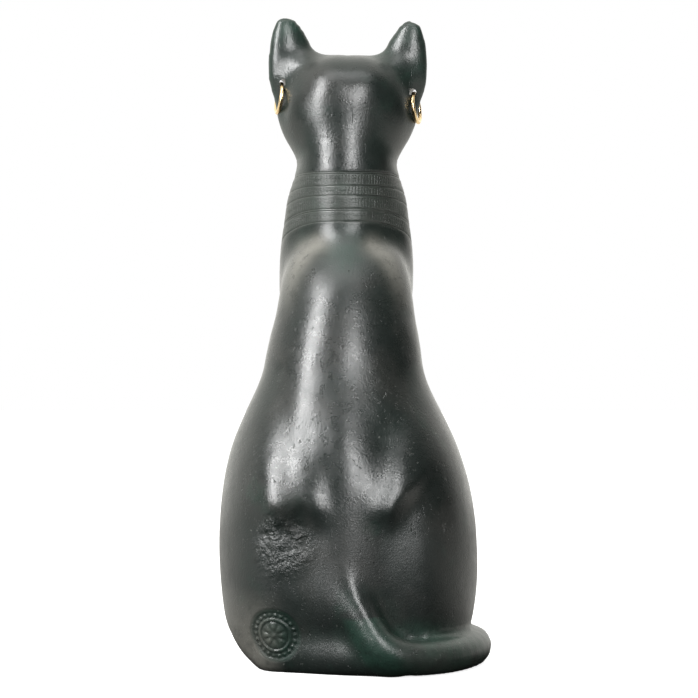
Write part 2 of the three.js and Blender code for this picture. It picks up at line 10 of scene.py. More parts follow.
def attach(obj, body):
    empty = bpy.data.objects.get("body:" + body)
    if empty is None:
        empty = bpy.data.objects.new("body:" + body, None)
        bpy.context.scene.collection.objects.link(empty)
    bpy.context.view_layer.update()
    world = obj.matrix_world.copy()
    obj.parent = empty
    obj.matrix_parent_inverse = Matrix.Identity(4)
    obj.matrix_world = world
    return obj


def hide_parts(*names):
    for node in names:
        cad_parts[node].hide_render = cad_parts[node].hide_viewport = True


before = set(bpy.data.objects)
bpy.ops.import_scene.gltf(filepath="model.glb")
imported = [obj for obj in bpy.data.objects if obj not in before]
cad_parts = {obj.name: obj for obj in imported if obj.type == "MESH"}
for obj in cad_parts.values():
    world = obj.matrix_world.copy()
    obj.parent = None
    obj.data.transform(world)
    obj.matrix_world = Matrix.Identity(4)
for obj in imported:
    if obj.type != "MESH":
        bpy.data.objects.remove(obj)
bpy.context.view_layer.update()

# The camera stands behind the cat, a little above its middle, with a long lens.
CAMERA_PLACE = Vector((0.0, 1.5, 0.190))
CAMERA_TARGET = Vector((0.0, 0.0, 0.1585))
LENS_MM = 151.0
camera_data = bpy.data.cameras.new("camera")
camera_data.lens = LENS_MM
camera_data.sensor_width = 36.0
camera = bpy.data.objects.new("camera", camera_data)
camera.location = CAMERA_PLACE
camera.rotation_euler = (CAMERA_TARGET - CAMERA_PLACE).to_track_quat("-Z", "Y").to_euler()
bpy.context.scene.collection.objects.link(camera)
bpy.context.scene.camera = camera
bpy.context.scene.view_settings.view_transform = "Standard"


# Studio: two tall soft boxes on the camera's side, one near it and one well to the left, a third
# overhead, and a warm white surround that is brightest high behind the cat, so that its outline
# catches light. The camera sees the surround as plain white paper.
LAMP_TARGET = Vector((0.0, 0.0, 0.16))


def soft_box(name, degrees, distance, height, size, power):
    data = bpy.data.lights.new(name, "AREA")
    data.shape = "RECTANGLE"
    data.size, data.size_y = size
    data.energy = power
    lamp = bpy.data.objects.new(name, data)
    turn = math.radians(degrees)
    lamp.location = (distance * math.sin(turn), distance * math.cos(turn), height)
    aim = LAMP_TARGET - lamp.location
    lamp.rotation_euler = aim.to_track_quat("-Z", "Y").to_euler()
    bpy.context.scene.collection.objects.link(lamp)


soft_box("left_box", degrees=47, distance=1.25, height=0.85, size=(0.30, 1.2), power=41)
soft_box("near_box", degrees=-12, distance=1.90, height=0.95, size=(0.42, 1.3), power=37)
soft_box("top_box", degrees=0, distance=0.50, height=1.50, size=(1.1, 0.5), power=7)


# `tree` is the node tree being built: the studio's here, and each material's further on.
def add(kind, **settings):
    made = tree.nodes.new(kind)
    for name, value in settings.items():
        setattr(made, name, value)
    return made


def link(source, target):
    tree.links.new(source, target)


def ramp(source, start, end, low=0.0, high=1.0, style="SMOOTHSTEP"):
    made = add("ShaderNodeMapRange", interpolation_type=style)
    made.inputs["From Min"].default_value = start
    made.inputs["From Max"].default_value = end
    made.inputs["To Min"].default_value = low
    made.inputs["To Max"].default_value = high
    link(source, made.inputs["Value"])
    return made.outputs["Result"]


BRIGHTEST_WAY = (0.2, -0.8, 0.6)
DIMMEST_SKY = 0.02
BRIGHTEST_SKY = 1.5
world = bpy.data.worlds.new("studio")
bpy.context.scene.world = world
world.use_nodes = True
tree = world.node_tree
tree.nodes.clear()
direction = add("ShaderNodeTexCoord")
towards = add("ShaderNodeVectorMath", operation="DOT_PRODUCT")
towards.inputs[1].default_value = BRIGHTEST_WAY
link(direction.outputs["Generated"], towards.inputs[0])
ambient = add("ShaderNodeBackground")
ambient.inputs["Color"].default_value = (1.0, 0.985, 0.93, 1.0)
surround = ramp(towards.outputs["Value"], 0.05, 0.75, DIMMEST_SKY, BRIGHTEST_SKY)
link(surround, ambient.inputs["Strength"])
paper = add("ShaderNodeBackground")
paper.inputs["Color"].default_value = (1.0, 1.0, 1.0, 1.0)
choice = add("ShaderNodeMixShader")
link(add("ShaderNodeLightPath").outputs["Is Camera Ray"], choice.inputs["Fac"])
link(ambient.outputs[0], choice.inputs[1])
link(paper.outputs[0], choice.inputs[2])
link(choice.outputs[0], add("ShaderNodeOutputWorld").inputs["Surface"])


def calculate(operation, *terms):
    made = add("ShaderNodeMath", operation=operation)
    for term, socket in zip(terms, made.inputs):
        if isinstance(term, str):
            term = add("ShaderNodeAttribute", attribute_name=term).outputs["Fac"]
        if isinstance(term, (int, float)):
            socket.default_value = term
        else:
            link(term, socket)
    return made.outputs[0]


# The floor is pale paper, and the camera sees it as nearly white all over. What it throws up
# onto the cat is dim around its feet and bright well behind it.
FLOOR_SIZE = 6.0
DIM_EDGE = -0.11
BRIGHT_EDGE = -0.36
FLOOR_FLARE = -1.6
bpy.ops.mesh.primitive_plane_add(size=FLOOR_SIZE, location=(0.0, 0.0, 0.0))
floor = bpy.context.object
floor.name = "floor"
floor_material = bpy.data.materials.new("pale_floor")
floor_material.use_nodes = True
tree = floor_material.node_tree
tree.nodes.clear()
lit = add("ShaderNodeBsdfDiffuse")
lit.inputs["Color"].default_value = (0.45, 0.45, 0.45, 1)
glow = add("ShaderNodeEmission")
glow.inputs["Strength"].default_value = 0.85
white = add("ShaderNodeAddShader")
link(lit.outputs[0], white.inputs[0])
link(glow.outputs[0], white.inputs[1])
floor_axes = add("ShaderNodeSeparateXYZ")
link(add("ShaderNodeTexCoord").outputs["Object"], floor_axes.inputs[0])
aside = calculate("ABSOLUTE", floor_axes.outputs["X"])
ahead = calculate("MULTIPLY_ADD", aside, FLOOR_FLARE, floor_axes.outputs["Y"])
thrown = add("ShaderNodeEmission")
thrown.inputs["Color"].default_value = (1.0, 0.98, 0.92, 1)
link(ramp(ahead, DIM_EDGE, BRIGHT_EDGE, 0.015, 1.1, "LINEAR"), thrown.inputs["Strength"])
pale = add("ShaderNodeMixShader")
link(add("ShaderNodeLightPath").outputs["Is Camera Ray"], pale.inputs["Fac"])
link(thrown.outputs[0], pale.inputs[1])
link(white.outputs[0], pale.inputs[2])
link(pale.outputs[0], add("ShaderNodeOutputMaterial").inputs["Surface"])
floor.data.materials.append(floor_material)

# The cat: one casting in dark resin, with a bronze patina painted on and rubbed back by hand.
# Its form is worked out in hundredths of its height, as round masses that run into each other.
# Each shape gives the distance to its surface, negative inside.
HEIGHT = 0.330
U = HEIGHT / 100


def clamp01(t):
    return np.clip(t, 0.0, 1.0)


def mix(a, b, t):
    return a + (b - a) * t


def bell(t):
    return np.exp(-t * t)


# Joins two shapes with a fillet `k` wide. `carve` cuts one out of the other with such an edge.
def blend(a, b, k):
    h = np.maximum(k - np.abs(a - b), 0.0) / k
    return np.minimum(a, b) - h * h * k / 4


def carve(a, b, k):
    return -blend(-a, b, k)


# An ellipsoid with its top leant forward by `lean` and turned outward by `turn`, in degrees.
def ellipsoid(middle, radii, lean=0.0, turn=0.0):
    cl, sl = math.cos(math.radians(lean)), math.sin(math.radians(lean))
    ct, st = math.cos(math.radians(turn)), math.sin(math.radians(turn))
    rx, ry, rz = radii

    def shape(x, y, z):
        dx, dy, dz = x - middle[0], y - middle[1], z - middle[2]
        tx = dx * ct + dy * st
        ty = dy * ct - dx * st
        ey = ty * cl + dz * sl
        ez = dz * cl - ty * sl
        near = np.sqrt((tx / rx) ** 2 + (ey / ry) ** 2 + (ez / rz) ** 2)
        slope = np.sqrt((tx / rx**2) ** 2 + (ey / ry**2) ** 2 + (ez / rz**2) ** 2)
        return near * (near - 1) / np.maximum(slope, 1e-9)

    return shape


# A limb: round cones along stations. `thin` squeezes it front to back about its first station.
def limb(stations, thin=1.0):
    y0 = stations[0][1]

    def shape(x, y, z):
        sy = y0 + (y - y0) / thin
        nearest = np.full_like(x, np.inf)
        for (ax, ay, az, ar), (bx, by, bz, br) in zip(stations, stations[1:]):
            vx, vy, vz = bx - ax, (by - ay) / thin, bz - az
            px, py, pz = x - ax, sy - (y0 + (ay - y0) / thin), z - az
            t = clamp01((px * vx + py * vy + pz * vz) / (vx * vx + vy * vy + vz * vz))
            gap = np.sqrt((px - vx * t) ** 2 + (py - vy * t) ** 2 + (pz - vz * t) ** 2)
            nearest = np.minimum(nearest, gap - mix(ar, br, t))
        return nearest * min(1.0, thin)

    return shape


# Stations along a smooth curve through the given ones. Each is a place and a radius.
def smooth_run(stations, steps):
    given = np.array(stations, float)
    points, last = given[:, :3], len(stations) - 1
    padded = np.vstack([2 * points[0] - points[1], points, 2 * points[-1] - points[-2]])
    run = []
    for i in range(steps + 1):
        at = i / steps * last
        start = min(int(at), last - 1)
        t = at - start
        p = padded[start : start + 4]
        d = [np.linalg.norm(p[j + 1] - p[j]) ** 0.5 for j in range(3)]
        into = (p[1] - p[0]) / d[0] - (p[2] - p[0]) / (d[0] + d[1]) + (p[2] - p[1]) / d[1]
        away = (p[2] - p[1]) / d[1] - (p[3] - p[1]) / (d[1] + d[2]) + (p[3] - p[2]) / d[2]
        into, away = into * d[1], away * d[1]
        bend = 3 * (p[2] - p[1]) - 2 * into - away
        ease = 2 * (p[1] - p[2]) + into + away
        place = p[1] + into * t + bend * t**2 + ease * t**3
        run.append((*place, mix(given[start, 3], given[start + 1, 3], t)))
    return run


# A shape turned about an upright line through `pivot`.
def turned(shape, pivot, degrees):
    c, s = math.cos(math.radians(degrees)), math.sin(math.radians(degrees))
    px, py = pivot

    def made(x, y, z):
        dx, dy = x - px, y - py
        return shape(px + dx * c + dy * s, py - dx * s + dy * c, z)

    return made


# The trunk leans a little to the cat's left between the hips and the neck.
def sway(z):
    return 0.35 * clamp01((z - 12) / 20) + 0.55 * bell((z - 42) / 12)


# The head is tipped a little about the top of the neck. The masses of the body come with the
# fillet that joins each to the rest, and those at x > 0 are mirrored.
HEAD_TIP = math.radians(0.7)
HEAD_PIVOT = 78.0
NECK = [
    (0, -3.5, 63, 9),
    (0, -3.7, 70, 9.3),
    (0, -3.8, 75.6, 7.5),
    (0, -4, 80, 7.3),
    (0, -4.2, 85, 7.6),
]
RUMP = ellipsoid((0, 8.5, 17.5), (14.5, 14.8, 27))
TRUNK = [
    (ellipsoid((8.6, 5.6, 17), (11.2, 16.1, 25.8)), 2),
    (ellipsoid((0, 6.6, 38.0), (12.6, 10.6, 28.6), 11), 4),
    (ellipsoid((4.7, 1.7, 57.4), (5.0, 5.8, 8.6), 30), 2.6),
    (ellipsoid((0, -1.5, 30), (8.2, 9.2, 30)), 3),
    (ellipsoid((0, -4.8, 58), (8.7, 8.2, 15)), 1.4),
    (ellipsoid((5.1, -3.7, 59.5), (5.35, 6.4, 14), 4), 1.4),
    (limb(smooth_run(NECK, 16), 0.76), 1.6),
]
NAPE = limb([(0, -2.3, 85.4, 7.2), (0, -0.7, 75, 7.1), (0, -0.3, 68, 6.9), (0, 0.6, 60, 6.0)], 0.82)
FORELEG = [
    (5.2, -6.2, 57, 4.2),
    (5, -8.8, 43, 4.1),
    (4.6, -10.4, 24, 3.2),
    (4.5, -10.9, 9, 2.8),
    (4.6, -12, 2, 2.8),
]
foreleg_shape = limb(smooth_run(FORELEG, 12))
KNEE = ellipsoid((12.2, -2.6, 15), (5.4, 8.4, 12.5), -10)
HIND_FOOT = limb([(12.4, 5, 0.9, 2.8), (12.5, -8, 1.1, 2.5)])
LEG_GAP = ellipsoid((0, -17, 20), (0.9, 9.5, 29))
PAWS = [(4.6, -14.4, 1.2), (12.5, -12, 0.9)]  # fore and hind: middle and fillet
TOES = (-2.15, -0.75, 0.75, 2.15)


# A paw: a low pad with four toes at its front.
def paw(px, py):
    pad = ellipsoid((px, py, 0.8), (3.3, 4.8, 3.1))
    toes = []
    for off in TOES:
        knuckle = (px + 0.8 * off, py - 2, 1.9, 1)
        tip = (px + off, py - 4.6 + 0.35 * abs(off), 0.9, 0.95)
        toes.append(limb([knuckle, tip]))

    def shape(x, y, z):
        d = pad(x, y, z)
        for toe in toes:
            d = blend(d, toe(x, y, z), 0.35)
        return d

    return shape


# The tail drops to the ground and runs round the right side. Its fillet is widest at the root.
TAIL = [
    (0.6, 20.4, 15.5, 1.0),
    (-0.9, 21.8, 11.4, 1.6),
    (-2.9, 23.6, 7.4, 2.2),
    (-5, 24.2, 4.5, 2.5),
    (-8.3, 23.5, 3, 2.6),
    (-12.2, 21, 2.7, 2.65),
    (-15.9, 16.4, 2.6, 2.7),
    (-18.6, 9.8, 2.6, 2.7),
    (-19.2, 2, 2.6, 2.6),
    (-17.7, -6, 2.4, 2.4),
    (-16.7, -12.4, 2.2, 2.2),
    (-15.8, -17, 2, 1.8),
]
tail_shape = limb(smooth_run(TAIL, 33))


def tail_fillet(x, y):
    return mix(1.4, 3.0, clamp01((x + 9) / 6)) + 1.6 * clamp01((4 - y) / 8)


TAIL_ROOT = limb(
    [(10.4, 14.6, 2.2, 2.2), (4.6, 18, 2.4, 2.6), (-1, 20.8, 2.6, 2.8), (-6, 22, 2.2, 2.6)]
)

SKULL = ellipsoid((0, -4.2, 86.4), (8.4, 7.2, 6.3))
HEAD = [
    (ellipsoid((3.2, -4, 87.6), (4.8, 6.4, 5.3)), 2),
    (ellipsoid((5.2, -5.2, 83.8), (4.9, 6.6, 5.4)), 2.4),
    (limb([(0, -8, 85.4, 5.5), (0, -12.2, 83.4, 3.4)]), 2.4),
    (limb([(0, -10.4, 88.8, 1.9), (0, -14.8, 85, 1.2)]), 1.6),
    (ellipsoid((1.4, -13.8, 83.1), (2.1, 2.3, 1.7)), 0.8),
    (ellipsoid((0, -12.6, 81), (2, 2.4, 1.4)), 1.1),
]
EYE_SOCKET = ellipsoid((4.5, -12.2, 87.3), (2.9, 1.5, 1.6), 0, 30)
EYE = ellipsoid((4.1, -10.4, 87.3), (2.4, 1.7, 1.15), 0, 30)
EYE_SLANT = 0.16  # rise of the outer corner
EAR = [
    (7.2, -4.4, 86.2, 3.6),
    (8.3, -4.4, 90, 4.05),
    (8.75, -4.4, 92.8, 3.75),
    (9.2, -4.4, 95.3, 3.1),
    (9.6, -4.4, 97.4, 2.2),
    (9.8, -4.4, 98.2, 1.7),
]
EAR_PIVOT = (8.6, -4.4)
EAR_TURN = 10
ear_shape = turned(limb(smooth_run(EAR, 18), 0.5), EAR_PIVOT, EAR_TURN)
EAR_ROOT = limb([(5.6, -3.3, 86.6, 3.0), (7.4, -3.8, 91.6, 2.0)])
EAR_BACK = ellipsoid((12.0, -0.4, 86.8), (2.7, 2.6, 3.9))
EAR_HOLLOW = turned(ellipsoid((8.7, -7.9, 92), (2.9, 2.7, 6.4), -3), EAR_PIVOT, EAR_TURN)
RIGHT_EAR_DROP = 0.45  # the right ear stands lower than the left


def head_shape(x, y, z):
    side = np.abs(x)
    d = SKULL(side, y, z)
    for mass, fillet in HEAD:
        d = blend(d, mass(side, y, z), fillet)
    eye_z = z - EYE_SLANT * (side - 4)
    d = carve(d, EYE_SOCKET(side, y, eye_z), 0.9)
    d = blend(d, EYE(side, y, eye_z), 0.25)
    ear_z = np.where(x < 0, z + RIGHT_EAR_DROP * clamp01((z - 89) / 8), z)
    d = blend(d, EAR_ROOT(side, y, ear_z), 2.6)
    d = blend(d, ear_shape(side, y, ear_z), 2.0)
    d = carve(d, EAR_BACK(side, y, ear_z), 1.2)
    return carve(d, EAR_HOLLOW(side, y, ear_z), 0.8)


# The nape's fillet is wide where it comes down onto the back, and tight at the sides.
def nape_fillet(side, z):
    return mix(1.6, 2.6, clamp01((6 - side) / 4) * clamp01((76 - z) / 8))


# A soft swelling of the surface about a place: `wide` across, and `above` and `below` it.
def swelling(side, z, place, wide, above, below):
    rise = z - place[1]
    return bell((side - place[0]) / wide) * bell(rise / np.where(rise > 0, above, below))


# The hip bones end in a soft edge over a hollow. On the right it climbs outwards.
def hips(x, side, z):
    right = clamp01(0.5 - x / 8)
    edge = 25.2 + mix(0.15, 1.05, right) * np.maximum(side - 6.4, 0)
    edge = edge + 1.3 * (1 - right) * bell((side - 6.7) / 1.5)
    off = side - 7.9
    left_bone = bell((off / np.where(off < 0, 4.6, 6.0)) ** 2)
    right_bone = bell(off / np.where(off < 0, 4.4, 4.8))
    return (
        1.3 * mix(left_bone, right_bone, right) * swelling(0, z, (0, edge), 1.0, 8.5, 2.6)
        + 0.45 * swelling(side, z, (0, 31.0), 4.0, 7.0, 5.0)
        + 0.35 * swelling(side, z, (6.6, 41.0), 3.0, 5.0, 5.0)
        - mix(0.3, 0.15, right) * swelling(side, z, (8.2, 20.4), 5.0, 2.2, 6.0)
    )


# The tail grows out of the back as a ridge, steep on its right side and gradual on its left.
def from_ridge(x, z):
    return x - 0.5 + 0.075 * np.maximum(17 - z, 0) ** 1.8


def tail_ridge(x, z):
    off = from_ridge(x, z)
    return 1.6 * bell((z - 8) / 5.5) * bell(off / np.where(off > 0, 6.5, 1.7))


# How softly the foot of the body turns under: most at the sides.
def undercut(side, y):
    lengthwise = clamp01((y + 11) / 8) * clamp01((17 - y) / 8)
    return 1.8 + 6.8 * lengthwise * clamp01((side - 4) / 5)


GROUND_EDGE = 0.35  # how far the cut underside is eased where it meets the sides


# The whole figure, cut flat at the ground.
def figure(points):
    x, y, z = points.T
    side = np.abs(x - sway(z))
    d = RUMP(side, y, z)
    for mass, fillet in TRUNK:
        d = blend(d, mass(side, y, z), fillet)
    d = blend(d, NAPE(side, y, z), nape_fillet(side, z))
    behind = clamp01((y - 4) / 11)
    d = d - (hips(x, side, z) + tail_ridge(x, z)) * behind**2 * (3 - 2 * behind)
    d = blend(d, KNEE(side, y, z), 3)
    d = carve(d, z + 0.8, undercut(side, y))
    d = blend(d, foreleg_shape(side, y, z), 2.2)
    d = blend(d, HIND_FOOT(side, y, z), 1.2)
    for px, py, fillet in PAWS:
        d = blend(d, paw(px, py)(side, y, z), fillet)
    d = carve(d, LEG_GAP(side, y, z), 1.2)
    low = z < 24
    d[low] = blend(d[low], TAIL_ROOT(x[low], y[low], z[low]), 3)
    d[low] = blend(d[low], tail_shape(x[low], y[low], z[low]), tail_fillet(x[low], y[low]))
    high = z > 68
    dx, dz = x[high] - sway(HEAD_PIVOT), z[high] - HEAD_PIVOT
    hx = dx * math.cos(HEAD_TIP) + dz * math.sin(HEAD_TIP)
    hz = HEAD_PIVOT + dz * math.cos(HEAD_TIP) - dx * math.sin(HEAD_TIP)
    d[high] = blend(d[high], head_shape(hx, y[high], hz), 3)
    return -blend(-d, z, GROUND_EDGE)


# The way straight out of the surface, by how the form changes a little to each side.
def outward(points, reach=0.12):
    steps = reach * np.eye(3)
    slope = np.stack([figure(points + step) - figure(points - step) for step in steps], axis=1)
    return slope / np.maximum(np.linalg.norm(slope, axis=1, keepdims=True), 1e-9)


def points_of(piece):
    flat = np.empty(len(piece.data.vertices) * 3)
    piece.data.vertices.foreach_get("co", flat)
    return flat.reshape(-1, 3)


def set_points(piece, points):
    piece.data.vertices.foreach_set("co", points.ravel())
    piece.data.update()


def pick(piece):
    bpy.ops.object.select_all(action="DESELECT")
    piece.select_set(True)
    bpy.context.view_layer.objects.active = piece


# The casting starts as the solid itself, its ear holes filled and its faces made even.
cat = bpy.data.objects.new("cat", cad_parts["cat_figure"].data.copy())
bpy.context.scene.collection.objects.link(cat)
pick(cat)
bpy.ops.object.mode_set(mode="EDIT")
bpy.ops.mesh.select_all(action="SELECT")
bpy.ops.mesh.remove_doubles(threshold=1e-6)
bpy.ops.object.mode_set(mode="OBJECT")

HOOP_YAW = math.radians(12)
HOLES = [("left", 1, (10.6, -4.1, 89.4)), ("right", -1, (-10.2, -4.1, 87.9))]
PLUG_RADIUS = 0.0034
PLUG_LENGTH = 0.0085
PLUG_DROP = Vector((0, 0, 0.0008))
for _, side, hole in HOLES:
    bpy.ops.mesh.primitive_cylinder_add(
        vertices=24,
        radius=PLUG_RADIUS,
        depth=PLUG_LENGTH,
        location=Vector(hole) * U - PLUG_DROP,
        rotation=(math.pi / 2, 0, side * HOOP_YAW),
    )
    cat.select_set(True)
    bpy.context.view_layer.objects.active = cat
    bpy.ops.object.join()

FACE_SIZE = 0.0024
pick(cat)
even = cat.modifiers.new("even", "REMESH")
even.mode = "VOXEL"
even.voxel_size = FACE_SIZE
bpy.ops.object.modifier_apply(modifier="even")


# Moves points straight in or out until they lie on the form.
def settle(points, rounds):
    for _ in range(rounds):
        points = points - figure(points)[:, None] * outward(points)
    return points


set_points(cat, settle(points_of(cat) / U, 3) * U)


# Selects the vertices or the faces that `chosen` is true for.
def choose(piece, kind, parts, chosen):
    pick(piece)
    bpy.ops.object.mode_set(mode="EDIT")
    bpy.ops.mesh.select_mode(type=kind)
    bpy.ops.mesh.select_all(action="DESELECT")
    bpy.ops.object.mode_set(mode="OBJECT")
    parts.foreach_set("select", chosen)


# Finer faces where there is carving. `zone` says which points are in.
def refine(piece, zone):
    inside = zone(*(points_of(piece) / U).T)
    corners = np.empty(len(piece.data.loops), int)
    piece.data.loops.foreach_get("vertex_index", corners)
    starts = np.empty(len(piece.data.polygons), int)
    piece.data.polygons.foreach_get("loop_start", starts)
    choose(piece, "FACE", piece.data.polygons, np.logical_or.reduceat(inside[corners], starts))
    bpy.ops.object.mode_set(mode="EDIT")
    bpy.ops.mesh.subdivide(number_cuts=1)
    bpy.ops.object.mode_set(mode="OBJECT")
    points = points_of(piece) / U
    near = zone(*points.T)
    points[near] = settle(points[near], 2)
    set_points(piece, points * U)


# The collar is five engraved lines that are level at the back and hang low on the chest, the
# first and fourth of them double. Between them run rows of short upright strokes.
COLLAR_LINES = [(75.2, 73), (73.2, 69.5), (71.7, 66.5), (69.5, 61.5), (67.7, 57)]
COLLAR_DOUBLE = (0, 3)
COLLAR_AXIS_Y = -3.5
COLLAR_REACH = 11  # what lies further from the neck's axis isn't on the collar
LINE_DEPTH = 0.08
LINE_HALF_WIDTH = 0.13
LINE_HALF_SPREAD = 0.16  # half the way between the two lines of a double one
TURN_STEP = 0.01


# How far the lines have come down, from 0 at the back to 1 at the front.
def collar_fall(turn):
    return ((1 - np.cos(turn)) / 2) ** 1.8


def collar_turn(x, y, z):
    return np.arctan2(x - sway(z), y - COLLAR_AXIS_Y)


# Which row a point lies in: 0 on the first line, 1 on the second, and so on down.
def collar_row(x, y, z):
    fall = collar_fall(collar_turn(x, y, z))
    levels = np.array([mix(back, front, fall) for back, front in COLLAR_LINES])
    row = (levels[0] - z) / (levels[0] - levels[1])
    for i in range(1, len(COLLAR_LINES)):
        above, below = levels[i - 1], levels[i]
        row = np.where(z < above, i - 1 + (above - z) / (above - below), row)
    return row


# How deep the collar is cut at a point, how far it is from the nearest line, and whether that
# line is double. On the left of the neck's back the lines are mostly worn away.
def collar_relief(x, y, z):
    turn = collar_turn(x, y, z)
    reach = np.hypot(x - sway(z), y - COLLAR_AXIS_Y)
    offset = np.full_like(x, 9.0)
    double = np.zeros_like(x)
    for i, (back, front) in enumerate(COLLAR_LINES):
        level = mix(back, front, collar_fall(turn))
        fallen = collar_fall(turn + TURN_STEP) - collar_fall(turn - TURN_STEP)
        climb = (front - back) * fallen / (2 * TURN_STEP) / reach
        off = (z - level) / np.sqrt(1 + climb**2)
        nearer = np.abs(off) < np.abs(offset)
        offset = np.where(nearer, off, offset)
        double = np.where(nearer, i in COLLAR_DOUBLE, double)
    depth = bell((np.abs(offset) - LINE_HALF_SPREAD * double) / LINE_HALF_WIDTH)
    rubbed_off = 0.8 * bell((x - 3.6) / 3.4) * (y > 0)
    return -LINE_DEPTH * depth * (1 - rubbed_off), offset, double


# Where rays from inside the figure leave it: strides outwards, then halves the last stride.
STRIDE = 0.5
STRIDES = 60
HALVINGS = 16


def surface_along(starts, ways):
    reach = np.full(len(starts), STRIDE)
    for _ in range(STRIDES):
        short = figure(starts + ways * reach[:, None]) < 0
        reach = np.where(short, reach + STRIDE, reach)
    inner = reach - STRIDE
    for _ in range(HALVINGS):
        half = (inner + reach) / 2
        within = figure(starts + ways * half[:, None]) < 0
        inner, reach = np.where(within, half, inner), np.where(within, reach, half)
    return starts + ways * reach[:, None]


# The stamp low on the left haunch: a sunk disc with a ring of beads and a rosette.
SEAL_DIAMETER = 0.027
SEAL_RADIUS = SEAL_DIAMETER / 2 / U
seal_way = np.array([[0.53, 0.85, 0.0]])
seal_middle = surface_along(np.array([[4, 8, 5.7]], float), seal_way / np.linalg.norm(seal_way))
seal_out = outward(seal_middle)[0]
seal_up = np.array([0, 0, 1]) - seal_out[2] * seal_out
seal_up /= np.linalg.norm(seal_up)
seal_side = np.cross(seal_up, seal_out)
SEAL_BEADS = 22
SEAL_PETALS = 8
BEAD_RING = 0.79  # share of the stamp's radius, as all the measures across it are


# A point's place on the stamp: its share of the radius, and its angle.
def seal_place(x, y, z):
    off = np.stack([x, y, z], axis=-1) - seal_middle[0]
    across, along = off @ seal_side, off @ seal_up
    near = np.abs(off @ seal_out) < 4
    return np.where(near, np.hypot(across, along) / SEAL_RADIUS, 9), np.arctan2(along, across)


def seal_relief(x, y, z):
    r, angle = seal_place(x, y, z)
    step = 2 * math.pi / SEAL_BEADS
    from_bead = BEAD_RING * np.abs((angle + step / 2) % step - step / 2)
    bead = bell(np.hypot(from_bead, r - BEAD_RING) / 0.062)
    petal = clamp01(np.cos(SEAL_PETALS / 2 * angle) ** 2 * 1.6) * bell((r - 0.31) / 0.13)
    sunk = clamp01((0.99 - r) / 0.05)
    band = clamp01((r - 0.65) / 0.05) * clamp01((0.93 - r) / 0.05)
    return (
        -0.14 * sunk
        - 0.12 * band
        + 0.2 * bead
        + 0.09 * bell((r - 0.6) / 0.035)
        - 0.10 * bell((r - 0.53) / 0.035)
        + 0.15 * petal
        + 0.16 * bell(r / 0.09)
        - 0.09 * bell((r - 1.0) / 0.03)
    )


# Fine lines cut into the face, the ears and the paws, each along points on the surface.
def cut_lines(points, lines, width, depth):
    nearest = np.full(len(points), 9.0)
    for line in lines:
        for start, end in zip(line, line[1:]):
            way = end - start
            t = clamp01((points - start) @ way / max(way @ way, 1e-9))
            nearest = np.minimum(nearest, np.linalg.norm(points - start - t[:, None] * way, axis=1))
    return -depth * bell(nearest / width)


# A place in the untipped head, moved to where the tipped head has it.
def head_point(x, z):
    dx, dz = x - sway(HEAD_PIVOT), z - HEAD_PIVOT
    return (
        sway(HEAD_PIVOT) + dx * math.cos(HEAD_TIP) - dz * math.sin(HEAD_TIP),
        HEAD_PIVOT + dz * math.cos(HEAD_TIP) + dx * math.sin(HEAD_TIP),
    )


# Points on the face. Each place is a distance to the side, a height and a turn outwards. The
# rays start well inside the head.
RAY_START_Y = -4.5
RAY_SETBACK = 6


def on_face(side, places):
    starts, ways = [], []
    for across, up, yaw in places:
        x, z = head_point(side * across, up)
        way = (side * math.sin(yaw), -math.cos(yaw), 0)
        starts.append((x - way[0] * RAY_SETBACK, RAY_START_Y, z))
        ways.append(way)
    return surface_along(np.array(starts), np.array(ways))


EYE_MIDDLE = (4.3, 87.3)
EYE_HALF = (2.7, 1.35)
EYE_YAW = 0.45
WHISKERS = ((82.6, -0.02), (83.3, 0.1), (84.0, 0.22))  # height and slope
TOE_GAPS = (-1.45, 0.0, 1.45)
EAR_LINES = (-0.9, -0.3, 0.3, 0.9)
EAR_FOOT = (8.5, -4.6, 88.3)
UPWARDS = np.array([0.0, 0.0, 1.0])
FORWARDS = np.array([0.0, -1.0, 0.0])
eye_lines, face_lines, ear_lines, toe_lines = [], [], [], []
for side in (1, -1):
    rim = []
    for turn in np.linspace(0, 2 * math.pi, 49):
        across, lift = EYE_HALF[0] * math.cos(turn), math.sin(turn)
        height = EYE_HALF[1] * lift * abs(lift) ** 0.3 + EYE_SLANT * across
        rim.append((EYE_MIDDLE[0] + across, EYE_MIDDLE[1] + height, EYE_YAW))
    eye_lines.append(on_face(side, rim))
    mouth = [(a, 81.75 + 0.12 * a * a, 0.02 + 0.1 * a) for a in np.linspace(0.02, 2.5, 9)]
    face_lines.append(on_face(side, mouth))
    for lift, slope in WHISKERS:
        run = [(a, lift + slope * (a - 2.2), 0.25 + 0.1 * a) for a in np.linspace(2.4, 5.6, 9)]
        face_lines.append(on_face(side, run))
    for px, py, _ in PAWS:
        for gap in TOE_GAPS:
            run = [[side * (px + gap), py - 0.5 - 0.4 * k, 1.6] for k in range(13)]
            toe_lines.append(surface_along(np.array(run), UPWARDS))
    for lean in EAR_LINES:
        run = []
        for up in np.linspace(0, 4.6 - 1.2 * abs(lean), 8):
            across = EAR_FOOT[0] + lean * (0.7 + 0.12 * up)
            x, z = head_point(side * across, EAR_FOOT[2] + up)
            run.append((x, EAR_FOOT[1], z))
        ear_lines.append(surface_along(np.array(run), FORWARDS))
face_lines.append(on_face(1, [(-0.25, v, 0.0) for v in np.linspace(81.8, 83.4, 5)]))


def in_collar(x, y, z):
    row = collar_row(x, y, z)
    return (row > -0.5) & (row < 4.5) & (np.hypot(x, y - COLLAR_AXIS_Y) < COLLAR_REACH)


def in_seal(x, y, z):
    return seal_place(x, y, z)[0] < 1.12


def in_head(x, y, z):
    return (z > 79) & ((y < -9.5) | (z > 88.5))


def in_paws(x, y, z):
    return (y < -11) & (z < 4.5) & (np.abs(x) < 17)


def in_relief(x, y, z):
    return in_collar(x, y, z) | in_seal(x, y, z)


